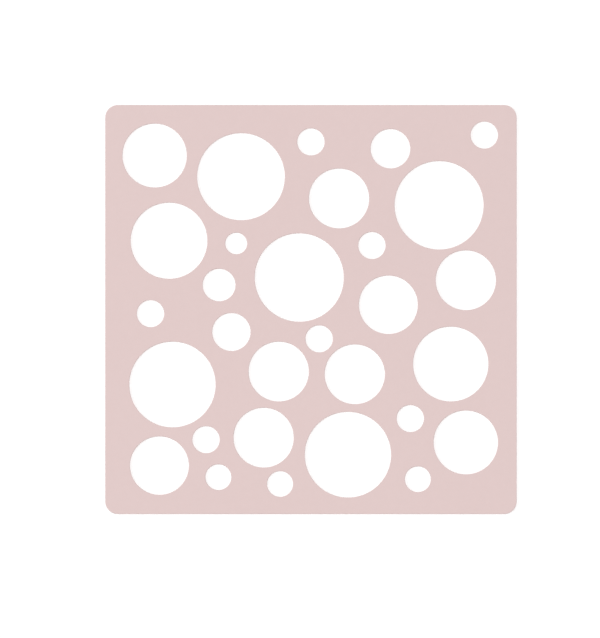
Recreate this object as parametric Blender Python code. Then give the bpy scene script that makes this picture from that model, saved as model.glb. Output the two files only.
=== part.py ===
"""Circle template: one flat square plastic sheet with rounded corners and thirty round holes.

Blender 4.5, metres, +Z up. The sheet lies flat with its underside on Z = 0, and the origin is
the middle of the underside. +X runs to the sheet's right-hand edge and +Y to its top edge.
"""

from math import copysign, cos, pi, sin

import bpy
from mathutils import Vector

MM = 0.001

# Driving dimensions.
PLATE_SIDE = 150.0 * MM
PLATE_THICKNESS = 1.0 * MM
CORNER_RADIUS = 4.6 * MM

# The hole schedule, in millimetres from the middle of the sheet: centre X, centre Y, diameter.
SMALL_HOLES = (
    (-27.25, 24.25, 8.0),
    (63.25, 64.0, 10.0),
    (0.0, 61.5, 10.0),
    (22.25, 23.5, 10.0),
    (-58.5, -1.5, 10.0),
    (3.0, -10.75, 10.0),
    (36.25, -40.0, 10.0),
    (-38.25, -47.75, 10.0),
    (-33.75, -61.5, 9.5),
    (39.0, -62.25, 9.5),
    (-11.25, -64.0, 9.5),
    (-33.5, 9.0, 12.0),
    (29.0, 59.0, 14.5),
    (-29.0, -8.25, 14.0),
)
MIDDLE_HOLES = (
    (10.25, 40.75, 22.0),
    (56.5, 10.75, 22.0),
    (28.25, 1.75, 21.5),
    (-11.75, -22.75, 22.0),
    (16.0, -23.75, 22.0),
    (-17.25, -47.0, 22.0),
    (-55.25, -57.25, 21.5),
    (-57.0, 56.5, 23.5),
    (56.5, -48.75, 23.5),
)
LARGE_HOLES = (
    (-51.75, 25.25, 28.0),
    (51.0, -20.0, 27.5),
    (-25.5, 48.75, 32.0),
    (46.75, 38.25, 32.5),
    (-4.25, 11.75, 32.5),
    (-50.5, -27.5, 31.5),
    (13.5, -53.25, 31.5),
)

# Straight steps in each quarter turn, enough to keep every flat within 0.05 mm of its arc.
HOLE_STEPS = (
    (SMALL_HOLES, 8),
    (MIDDLE_HOLES, 12),
    (LARGE_HOLES, 14),
)
CORNER_STEPS = 8

QUARTER_TURN = pi / 2
# The Bezier handle that draws a quarter circle, as a share of its radius.
QUARTER_HANDLE = 0.5523

DUSTY_PINK = (0.760, 0.600, 0.587, 1.0)
SATIN_ROUGHNESS = 0.5


def clear_scene():
    """Removes the objects of the startup scene."""
    for old in list(bpy.data.objects):
        bpy.data.objects.remove(old, do_unlink=True)


def make_collection(name):
    """A new collection of this name, linked to the scene."""
    collection = bpy.data.collections.new(name)
    bpy.context.scene.collection.children.link(collection)
    return collection


def pink_plastic():
    """Opaque dusty-pink plastic with a satin face."""
    material = bpy.data.materials.new("pink_plastic")
    material.use_nodes = True
    shader = material.node_tree.nodes["Principled BSDF"]
    shader.inputs["Base Color"].default_value = DUSTY_PINK
    shader.inputs["Roughness"].default_value = SATIN_ROUGHNESS
    shader.inputs["Metallic"].default_value = 0.0
    return material


def new_outline(curve, point_count, steps):
    """A closed Bezier spline with this many points, drawn with this many steps between them."""
    spline = curve.splines.new("BEZIER")
    spline.bezier_points.add(point_count - 1)
    spline.use_cyclic_u = True
    spline.resolution_u = steps
    return spline


def place_on_arc(point, centre, radius, angle):
    """Puts a Bezier point on a circle, with the handles of a quarter circle on both sides."""
    outward = Vector((cos(angle), sin(angle), 0.0))
    tangent = Vector((-sin(angle), cos(angle), 0.0))
    handle = radius * QUARTER_HANDLE * tangent
    point.handle_left_type = "FREE"
    point.handle_right_type = "FREE"
    point.co = centre + radius * outward
    point.handle_left = point.co - handle
    point.handle_right = point.co + handle


def add_circle(curve, centre, radius, steps):
    """Adds a circle to the curve, as four quarter circles."""
    spline = new_outline(curve, 4, steps)
    for quarter, point in enumerate(spline.bezier_points):
        place_on_arc(point, centre, radius, quarter * QUARTER_TURN)


def add_rounded_square(curve, side, radius, steps):
    """Adds a square to the curve: four straight edges, joined by a quarter circle at each corner."""
    spline = new_outline(curve, 8, steps)
    inset = side / 2 - radius
    for quarter in range(4):
        start = quarter * QUARTER_TURN
        diagonal = start + QUARTER_TURN / 2
        centre = Vector((copysign(inset, cos(diagonal)), copysign(inset, sin(diagonal)), 0.0))
        first, last = spline.bezier_points[2 * quarter : 2 * quarter + 2]
        place_on_arc(first, centre, radius, start)
        place_on_arc(last, centre, radius, start + QUARTER_TURN)
        # The edges before and after the corner are straight.
        first.handle_left_type = "VECTOR"
        last.handle_right_type = "VECTOR"


def template_plate(collection):
    """The sheet: its rounded outline with every hole in it, extruded to its thickness."""
    curve = bpy.data.curves.new("template_plate", "CURVE")
    curve.dimensions = "2D"
    curve.fill_mode = "BOTH"
    curve.extrude = PLATE_THICKNESS / 2
    add_rounded_square(curve, PLATE_SIDE, CORNER_RADIUS, CORNER_STEPS)
    for holes, steps in HOLE_STEPS:
        for x, y, diameter in holes:
            centre = Vector((x * MM, y * MM, 0.0))
            add_circle(curve, centre, diameter * MM / 2, steps)
    curve.materials.append(pink_plastic())
    plate = bpy.data.objects.new("template_plate", curve)
    plate.location.z = PLATE_THICKNESS / 2
    collection.objects.link(plate)


clear_scene()
template_plate(make_collection("circle_template"))
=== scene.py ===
"""The looks of the circle template: the finished pink sheet, its floor, light and camera.

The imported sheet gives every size. This script rebuilds it with true round holes and softly
rounded edges, and gives it a satin moulded-plastic surface. Metres, +Z up.
"""

from math import copysign, cos, pi, radians, sin

import bmesh
import bpy
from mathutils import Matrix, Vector


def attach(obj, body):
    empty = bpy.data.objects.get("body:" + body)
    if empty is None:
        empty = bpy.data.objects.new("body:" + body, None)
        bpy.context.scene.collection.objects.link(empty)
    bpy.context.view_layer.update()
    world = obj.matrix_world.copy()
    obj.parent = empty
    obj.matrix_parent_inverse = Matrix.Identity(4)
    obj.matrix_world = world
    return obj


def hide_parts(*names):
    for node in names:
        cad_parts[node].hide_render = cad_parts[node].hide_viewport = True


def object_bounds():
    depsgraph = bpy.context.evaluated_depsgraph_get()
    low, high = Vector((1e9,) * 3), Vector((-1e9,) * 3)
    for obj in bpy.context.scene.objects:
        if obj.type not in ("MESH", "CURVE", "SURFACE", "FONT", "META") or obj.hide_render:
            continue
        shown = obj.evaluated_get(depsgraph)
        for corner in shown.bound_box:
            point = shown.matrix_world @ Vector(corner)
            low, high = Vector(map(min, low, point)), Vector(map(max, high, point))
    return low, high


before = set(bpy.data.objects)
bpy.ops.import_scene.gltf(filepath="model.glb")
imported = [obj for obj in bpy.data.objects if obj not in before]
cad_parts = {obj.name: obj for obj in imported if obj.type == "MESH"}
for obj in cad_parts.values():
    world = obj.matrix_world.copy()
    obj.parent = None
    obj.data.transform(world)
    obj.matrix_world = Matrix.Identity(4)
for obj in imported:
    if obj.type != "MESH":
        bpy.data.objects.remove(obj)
cad_low, cad_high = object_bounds()

MM = 0.001

# The finished sheet.
EDGE_ROUND = 0.2 * MM
EDGE_ROUND_STEPS = 3
FACET_LENGTH = 0.5 * MM
SAME_PLACE = 0.001 * MM
# How far a face's normal points up or down, from 0 to 1: a wall stays below the first limit, and a
# flat face above the second.
WALL_LIMIT = 0.5
FLAT_LIMIT = 0.9999
QUARTER_TURN = pi / 2
# The Bezier handle that draws a quarter circle, as a share of its radius.
QUARTER_HANDLE = 0.5523

# The plastic. Its colours are linear, and change by how far the surface faces up or down: the faces
# keep the plastic's own pink, the rims get a paler pink that is a painted highlight, and the walls
# a deeper pink that is painted shade.
# Painted shade: the walls' deeper pink stands in for the shade that the walls get.
WALL_PINK_PAINTED_SHADE = (0.700, 0.530, 0.515, 1.0)
# Painted highlight: the rims' paler pink stands in for light on the rounded edges.
RIM_PINK_PAINTED_HIGHLIGHT = (0.772, 0.614, 0.602, 1.0)
FACE_PINK = (0.750, 0.589, 0.576, 1.0)
PINK_AND_PAINTED_LIGHT_STOPS = ((0.25, WALL_PINK_PAINTED_SHADE), (0.70, RIM_PINK_PAINTED_HIGHLIGHT), (0.97, FACE_PINK))
PLASTIC_IOR = 1.49
FACE_ROUGHNESS = (0.42, 0.54)
WALL_ROUGHNESS = 0.38

# Its patterns: the size of their features, and the number of finer layers in them.
DRIFT_NOISE = (110 * MM, 1)
MOTTLE_NOISE = (2.4 * MM, 3)
PATCH_NOISE = (18 * MM, 4)
STREAK_NOISE = (1.5 * MM, 2)
GRAIN_NOISE = (0.4 * MM, 2)
# Nearly all of a noise pattern lies in this part of the range from 0 to 1.
NOISE_SPREAD = (0.3, 0.7)

# How strong they are: the pigment's drift and mottle, the handling streaks and the moulded grain.
DRIFT = 0.004
MOTTLE = 0.006
STREAK_DEPTH = 0.02
STREAK_STRETCH = (0.05, 1.0, 1.0)
STREAK_TURN = (0.0, 0.0, radians(35))
GRAIN_DEPTH = 0.06 * MM

# The picture: shares of its width, for a picture 600 wide and 638 high.
PICTURE_ASPECT = 638 / 600
SHEET_WIDTH_IN_PICTURE = 0.6854
SHEET_RIGHT_OF_CENTRE = 0.0182
SHEET_ABOVE_CENTRE = 0.0158
CAMERA_TILT = radians(6.2)
CAMERA_DISTANCE = 1.0

# The studio.
FLOOR_SIDE = 8.0
FLOOR_GAP = 0.02 * MM
FLOOR_WHITE = (0.93, 0.93, 0.93, 1.0)
FLOOR_ROUGHNESS = 0.9
FLOOR_GLOW = 0.12
WORLD_WHITE = (1.0, 1.0, 1.0, 1.0)
WORLD_STRENGTH = 0.35
OVERHEAD_SPREAD = radians(30)
OVERHEAD_POWER = 1.80
KEY_PLACE = (-2.6, 0.0, 2.1)
KEY_SIDE = 1.2
KEY_POWER = 20.0


def wall_rings(node):
    """The corners of each upright wall of a flat CAD sheet: its outline's and each hole's."""
    mesh = bmesh.new()
    mesh.from_mesh(node.data)
    bmesh.ops.remove_doubles(mesh, verts=mesh.verts, dist=SAME_PLACE)
    mesh.normal_update()
    mesh.faces.index_update()
    left = {face.index: face for face in mesh.faces if abs(face.normal.z) < WALL_LIMIT}
    rings = []
    while left:
        todo = [left.pop(min(left))]
        ring = []
        while todo:
            face = todo.pop()
            ring += [vertex.co.copy() for vertex in face.verts]
            neighbours = {other.index for edge in face.edges for other in edge.link_faces}
            todo += [left.pop(index) for index in sorted(neighbours & left.keys())]
        rings.append(ring)
    mesh.free()
    return rings


def extent(points, axis):
    """The lowest and highest value of some points along an axis."""
    values = [point[axis] for point in points]
    return min(values), max(values)


def read_sheet(node):
    """The CAD sheet's half side and corner radius, and the centre and radius of each hole."""
    rings = sorted(wall_rings(node), key=lambda ring: extent(ring, 0)[0])
    outline, holes = rings[0], rings[1:]
    half_side = extent(outline, 0)[1]
    straight_edge = [point for point in outline if point.x > half_side - SAME_PLACE]
    corner_radius = half_side - extent(straight_edge, 1)[1]
    circles = []
    for ring in holes:
        (left, right), (front, back) = extent(ring, 0), extent(ring, 1)
        centre = Vector(((left + right) / 2, (front + back) / 2, 0.0))
        circles.append((centre, (right - left) / 2))
    return half_side, corner_radius, circles


def new_outline(curve, point_count, radius):
    """A closed Bezier spline, with facets of the usual length on arcs of this radius."""
    spline = curve.splines.new("BEZIER")
    spline.bezier_points.add(point_count - 1)
    spline.use_cyclic_u = True
    spline.resolution_u = round(QUARTER_TURN * radius / FACET_LENGTH)
    return spline


def place_on_arc(point, centre, radius, angle):
    """Puts a Bezier point on a circle, with the handles of a quarter circle on both sides."""
    outward = Vector((cos(angle), sin(angle), 0.0))
    handle = radius * QUARTER_HANDLE * Vector((-sin(angle), cos(angle), 0.0))
    point.handle_left_type = "FREE"
    point.handle_right_type = "FREE"
    point.co = centre + radius * outward
    point.handle_left = point.co - handle
    point.handle_right = point.co + handle


def add_circle(curve, centre, radius):
    """Adds a round hole to the sheet's curve."""
    spline = new_outline(curve, 4, radius)
    for quarter, point in enumerate(spline.bezier_points):
        place_on_arc(point, centre, radius, quarter * QUARTER_TURN)


def add_rounded_square(curve, half_side, radius):
    """Adds the sheet's outline to its curve: a square with a quarter circle at each corner."""
    spline = new_outline(curve, 8, radius)
    inset = half_side - radius
    for quarter in range(4):
        start = quarter * QUARTER_TURN
        diagonal = start + QUARTER_TURN / 2
        centre = Vector((copysign(inset, cos(diagonal)), copysign(inset, sin(diagonal)), 0.0))
        first, last = spline.bezier_points[2 * quarter : 2 * quarter + 2]
        place_on_arc(first, centre, radius, start)
        place_on_arc(last, centre, radius, start + QUARTER_TURN)
        # The edges before and after the corner are straight.
        first.handle_left_type = "VECTOR"
        last.handle_right_type = "VECTOR"


def sheet_mesh(node, low, high):
    """The sheet's mesh: flat faces, upright walls, and every rim between them softly rounded."""
    half_side, corner_radius, circles = read_sheet(node)
    curve = bpy.data.curves.new("sheet_outline", "CURVE")
    curve.dimensions = "2D"
    curve.fill_mode = "BOTH"
    curve.extrude = (high.z - low.z) / 2 - EDGE_ROUND
    curve.bevel_depth = EDGE_ROUND
    curve.bevel_resolution = EDGE_ROUND_STEPS
    curve.offset = -EDGE_ROUND
    add_rounded_square(curve, half_side, corner_radius)
    for centre, radius in circles:
        add_circle(curve, centre, radius)
    guide = bpy.data.objects.new("sheet_outline", curve)
    guide.location.z = (low.z + high.z) / 2
    bpy.context.scene.collection.objects.link(guide)
    bpy.context.view_layer.update()
    depsgraph = bpy.context.evaluated_depsgraph_get()
    mesh = bpy.data.meshes.new_from_object(guide.evaluated_get(depsgraph))
    mesh.transform(guide.matrix_world)
    bpy.data.objects.remove(guide)
    return mesh


def finish_shading(mesh):
    """Welds the loose faces to the rims, and shades the rims smooth and the two faces flat."""
    work = bmesh.new()
    work.from_mesh(mesh)
    bmesh.ops.remove_doubles(work, verts=work.verts, dist=SAME_PLACE)
    work.normal_update()
    for face in work.faces:
        face.smooth = True
    for edge in work.edges:
        flat = [abs(face.normal.z) > FLAT_LIMIT for face in edge.link_faces]
        edge.smooth = all(flat) or not any(flat)
    work.to_mesh(mesh)
    work.free()


def add_node(tree, kind, **values):
    """A new shader node of this kind, with its settings and its inputs' values set by name."""
    node = tree.nodes.new(kind)
    for name, value in values.items():
        if hasattr(node, name):
            setattr(node, name, value)
        else:
            node.inputs[name.replace("_", " ")].default_value = value
    return node


def add_noise(tree, place, feature, layers):
    """A noise pattern with features of this size and this many finer layers, from 0 to 1."""
    noise = add_node(tree, "ShaderNodeTexNoise", Scale=1 / feature, Detail=layers)
    tree.links.new(place, noise.inputs["Vector"])
    return noise.outputs["Fac"]


def rescale(tree, value, low, high):
    """A noise pattern's usual spread, brought to the range from low to high."""
    least, most = NOISE_SPREAD
    scaled = add_node(
        tree, "ShaderNodeMapRange", From_Min=least, From_Max=most, To_Min=low, To_Max=high
    )
    tree.links.new(value, scaled.inputs["Value"])
    return scaled.outputs["Result"]


def calculate(tree, operation, *values):
    """One step of arithmetic on node outputs."""
    step = add_node(tree, "ShaderNodeMath", operation=operation)
    for value, socket in zip(values, step.inputs):
        tree.links.new(value, socket)
    return step.outputs["Value"]


def flatness(tree, normal):
    """1 on the sheet's two faces, 0 on its walls, and between them on the rounded rims."""
    parts = add_node(tree, "ShaderNodeSeparateXYZ")
    tree.links.new(normal, parts.inputs["Vector"])
    return calculate(tree, "ABSOLUTE", parts.outputs["Z"])


def add_ramp(tree, value, stops):
    """A colour ramp over a node output, from its stops: place and colour."""
    ramp = add_node(tree, "ShaderNodeValToRGB")
    elements = ramp.color_ramp.elements
    while len(elements) < len(stops):
        elements.new(1.0)
    for element, (position, colour) in zip(elements, stops):
        element.position = position
        element.color = colour
    tree.links.new(value, ramp.inputs["Fac"])
    return ramp.outputs["Color"]


def pigment_and_painted_light(tree, place, flat):
    """Colour: pink with a faint uneven pigment, plus a painted highlight that makes rims a touch
    paler and painted shade that makes walls deeper.
    """
    drift = rescale(tree, add_noise(tree, place, *DRIFT_NOISE), 1 - DRIFT, 1 + DRIFT)
    mottle = rescale(tree, add_noise(tree, place, *MOTTLE_NOISE), 1 - MOTTLE, 1 + MOTTLE)
    tinted = add_node(tree, "ShaderNodeVectorMath", operation="SCALE")
    # The ramp paints a highlight on the rims and shade on the walls, by how far the surface faces
    # up or down.
    tree.links.new(add_ramp(tree, flat, PINK_AND_PAINTED_LIGHT_STOPS), tinted.inputs[0])
    tree.links.new(calculate(tree, "MULTIPLY", drift, mottle), tinted.inputs["Scale"])
    return tinted.outputs["Vector"]


def gloss(tree, place, flat):
    """Roughness: satin faces with patches and streaks from handling, and smoother walls."""
    patches = rescale(tree, add_noise(tree, place, *PATCH_NOISE), *FACE_ROUGHNESS)
    lengthwise = add_node(tree, "ShaderNodeMapping", Rotation=STREAK_TURN, Scale=STREAK_STRETCH)
    tree.links.new(place, lengthwise.inputs["Vector"])
    streaks = add_noise(tree, lengthwise.outputs["Vector"], *STREAK_NOISE)
    face = calculate(tree, "ADD", patches, rescale(tree, streaks, -STREAK_DEPTH, STREAK_DEPTH))
    mixed = add_node(tree, "ShaderNodeMix", data_type="FLOAT", A=WALL_ROUGHNESS)
    tree.links.new(flat, mixed.inputs["Factor"])
    tree.links.new(face, mixed.inputs["B"])
    return mixed.outputs["Result"]


def relief(tree, place):
    """Surface normal: the fine grain that a matt mould leaves."""
    grain = add_node(tree, "ShaderNodeBump", Distance=GRAIN_DEPTH)
    tree.links.new(add_noise(tree, place, *GRAIN_NOISE), grain.inputs["Height"])
    return grain.outputs["Normal"]


def satin_plastic():
    """The sheet's moulded satin plastic."""
    material = bpy.data.materials.new("satin_pink_plastic")
    material.use_nodes = True
    tree = material.node_tree
    shader = tree.nodes["Principled BSDF"]
    shader.inputs["IOR"].default_value = PLASTIC_IOR
    coordinates = add_node(tree, "ShaderNodeTexCoord")
    place = coordinates.outputs["Object"]
    flat = flatness(tree, coordinates.outputs["Normal"])
    tree.links.new(pigment_and_painted_light(tree, place, flat), shader.inputs["Base Color"])
    tree.links.new(gloss(tree, place, flat), shader.inputs["Roughness"])
    tree.links.new(relief(tree, place), shader.inputs["Normal"])
    return material


def plain_white():
    """The floor's matt white."""
    material = bpy.data.materials.new("plain_white")
    material.use_nodes = True
    shader = material.node_tree.nodes["Principled BSDF"]
    shader.inputs["Base Color"].default_value = FLOOR_WHITE
    shader.inputs["Roughness"].default_value = FLOOR_ROUGHNESS
    shader.inputs["Specular IOR Level"].default_value = 0.0
    shader.inputs["Emission Color"].default_value = FLOOR_WHITE
    shader.inputs["Emission Strength"].default_value = FLOOR_GLOW
    return material


def add_object(name, mesh, material):
    """A scene object for a mesh, with one material."""
    mesh.materials.append(material)
    made = bpy.data.objects.new(name, mesh)
    bpy.context.scene.collection.objects.link(made)
    return made


def add_sheet(node, low, high):
    """The finished sheet, in place of its CAD node."""
    mesh = sheet_mesh(node, low, high)
    mesh.name = "pink_sheet"
    finish_shading(mesh)
    sheet = add_object("pink_sheet", mesh, satin_plastic())
    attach(sheet, "root")
    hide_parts("template_plate")


def add_floor(level):
    """A plain pale floor."""
    mesh = bpy.data.meshes.new("floor")
    work = bmesh.new()
    bmesh.ops.create_grid(work, x_segments=1, y_segments=1, size=FLOOR_SIDE / 2)
    work.to_mesh(mesh)
    work.free()
    floor = add_object("floor", mesh, plain_white())
    floor.location.z = level - FLOOR_GAP


def add_world():
    """A white surround. It lights the sheet less than it shows, so walls keep some shade."""
    world = bpy.data.worlds.new("studio")
    world.use_nodes = True
    tree = world.node_tree
    path = add_node(tree, "ShaderNodeLightPath")
    strength = add_node(tree, "ShaderNodeMix", data_type="FLOAT", A=WORLD_STRENGTH, B=1.0)
    tree.links.new(path.outputs["Is Camera Ray"], strength.inputs["Factor"])
    background = tree.nodes["Background"]
    background.inputs["Color"].default_value = WORLD_WHITE
    tree.links.new(strength.outputs["Result"], background.inputs["Strength"])
    bpy.context.scene.world = world


def add_light(name, kind, power):
    """A light of this kind at the scene's origin, shining straight down."""
    light = bpy.data.lights.new(name, kind)
    light.energy = power
    lamp = bpy.data.objects.new(name, light)
    bpy.context.scene.collection.objects.link(lamp)
    return lamp


def add_lights():
    """Soft even light from overhead, and a weaker softbox on the left for the sheen."""
    overhead = add_light("overhead", "SUN", OVERHEAD_POWER)
    overhead.data.angle = OVERHEAD_SPREAD
    # It leaves no hot spot on the satin face.
    overhead.visible_glossy = False
    key = add_light("key", "AREA", KEY_POWER)
    key.data.shape = "SQUARE"
    key.data.size = KEY_SIDE
    key.location = KEY_PLACE
    key.rotation_euler = (-Vector(KEY_PLACE)).to_track_quat("-Z", "Y").to_euler()
    key.visible_camera = False


def add_camera(low, high):
    """A camera with no perspective, that frames the sheet a little high and right of the middle."""
    picture_width = (high.x - low.x) / SHEET_WIDTH_IN_PICTURE
    right = Vector((1.0, 0.0, 0.0))
    up = Vector((0.0, cos(CAMERA_TILT), sin(CAMERA_TILT)))
    back = Vector((0.0, -sin(CAMERA_TILT), cos(CAMERA_TILT)))
    sheet_offset = picture_width * (SHEET_RIGHT_OF_CENTRE * right + SHEET_ABOVE_CENTRE * up)
    data = bpy.data.cameras.new("camera")
    data.type = "ORTHO"
    data.ortho_scale = picture_width * PICTURE_ASPECT
    camera = bpy.data.objects.new("camera", data)
    camera.location = (low + high) / 2 - sheet_offset + back * CAMERA_DISTANCE
    camera.rotation_euler = (CAMERA_TILT, 0.0, 0.0)
    bpy.context.scene.collection.objects.link(camera)
    bpy.context.scene.camera = camera


add_camera(cad_low, cad_high)
add_world()
add_lights()
add_floor(cad_low.z)
add_sheet(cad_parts["template_plate"], cad_low, cad_high)
bpy.context.scene.view_settings.view_transform = "Standard"
